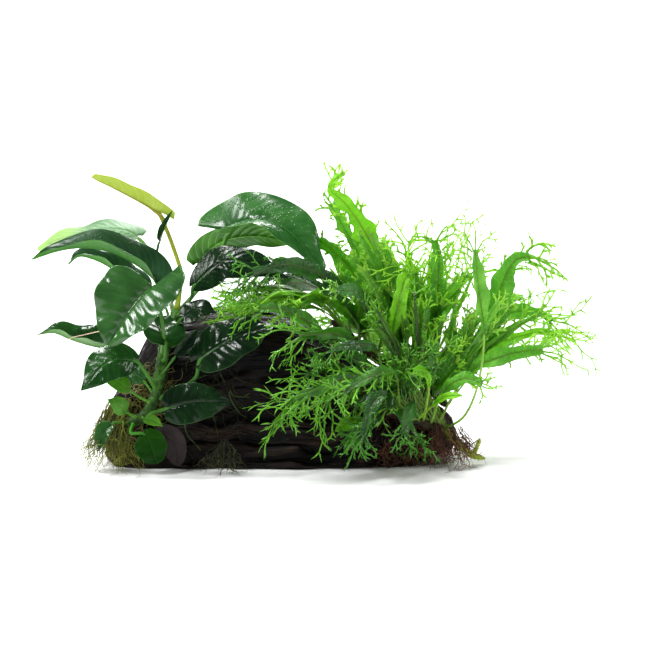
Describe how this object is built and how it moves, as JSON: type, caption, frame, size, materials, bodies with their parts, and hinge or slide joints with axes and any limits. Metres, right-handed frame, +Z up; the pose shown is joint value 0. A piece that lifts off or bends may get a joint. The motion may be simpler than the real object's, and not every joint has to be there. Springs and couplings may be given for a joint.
{
  "type": "java fern on driftwood",
  "caption": "Laced java fern and broad-leaved anubias grown with creeping stems and roots onto a dark piece of driftwood that rests on its flat underside.",
  "frame": {"origin": "middle of the driftwood's flat underside, on the surface that it rests on", "axes": "+X to the right along the driftwood, towards the fern; +Y to the back; +Z up"},
  "size_m": [0.3434, 0.1729, 0.1776],
  "materials": {
    "driftwood": "wet, near black, grained and split along its length",
    "anubias_stem": "green creeping stem with leaf scars",
    "fern_stem": "lime green creeping stem with brown hairs",
    "anubias_roots": "olive root threads",
    "fern_roots": "wiry brown root threads",
    "anubias_young_leaf": "waxy young leaf, lime green, lets light through",
    "anubias_leaf": "waxy dark green leaf, glossy, with water droplets",
    "old_leaf": "dull grey brown dying leaf",
    "fern_frond": "bright green frond with a red brown midrib, lets light through"
  },
  "bodies": {
    "root": {"driftwood": "driftwood", "anubias_rhizome": "anubias_stem", "fern_rhizome_front": "fern_stem", "fern_rhizome_top": "fern_stem", "anubias_roots_left": "anubias_roots", "anubias_roots_middle": "anubias_roots", "fern_roots": "fern_roots", "anubias_leaf_young_lime": "anubias_young_leaf", "anubias_leaf_back_pale": "anubias_young_leaf", "anubias_leaf_round_small": "anubias_young_leaf", "anubias_leaf_light": "anubias_young_leaf", "anubias_leaf_folded_light": "anubias_young_leaf", "anubias_leaf_bright_under": "anubias_young_leaf", "anubias_leaf_young_dark": "anubias_leaf", "anubias_leaf_arching": "anubias_leaf", "anubias_leaf_under_arch": "anubias_leaf", "anubias_leaf_heart": "anubias_leaf", "anubias_leaf_left": "anubias_leaf", "anubias_leaf_lower_left": "anubias_leaf", "anubias_leaf_shaded": "anubias_leaf", "anubias_leaf_centre": "anubias_leaf", "anubias_leaf_dark_low": "anubias_leaf", "anubias_leaf_top": "anubias_leaf", "anubias_leaf_green_back": "anubias_leaf", "anubias_leaf_gloss": "anubias_leaf", "anubias_leaf_round": "anubias_leaf", "anubias_leaf_folded_dark": "anubias_leaf", "anubias_leaf_small_dark": "anubias_leaf", "anubias_leaf_half_open": "anubias_leaf", "anubias_leaf_old_brown": "old_leaf", "fern_frond_tall_lime": "fern_frond", "fern_frond_tall_silver": "fern_frond", "fern_frond_tall_shaded": "fern_frond", "fern_frond_wet_bend": "fern_frond", "fern_frond_broad_front": "fern_frond", "fern_frond_upright": "fern_frond", "fern_frond_upright_back": "fern_frond", "fern_frond_curved_stalk": "fern_frond", "fern_frond_broad_right": "fern_frond", "fern_frond_arching_right": "fern_frond", "fern_frond_thin_lime": "fern_frond", "fern_frond_low_right": "fern_frond", "fern_frond_short_right": "fern_frond", "fern_frond_spoon": "fern_frond", "fern_frond_lime_middle": "fern_frond", "fern_frond_arching_left_upper": "fern_frond", "fern_frond_arching_left_middle": "fern_frond", "fern_frond_arching_left_front": "fern_frond", "fern_frond_far_left": "fern_frond", "fern_frond_left_short": "fern_frond", "fern_frond_left_dark": "fern_frond", "fern_frond_front_left": "fern_frond", "fern_frond_front_bright": "fern_frond", "fern_frond_down_front": "fern_frond", "fern_frond_down_right": "fern_frond", "fern_frond_pale_short": "fern_frond", "fern_frond_pale_broad": "fern_frond", "fern_frond_back_left": "fern_frond", "fern_frond_back_middle": "fern_frond", "fern_frond_back_right": "fern_frond"}
  },
  "joints": []
}
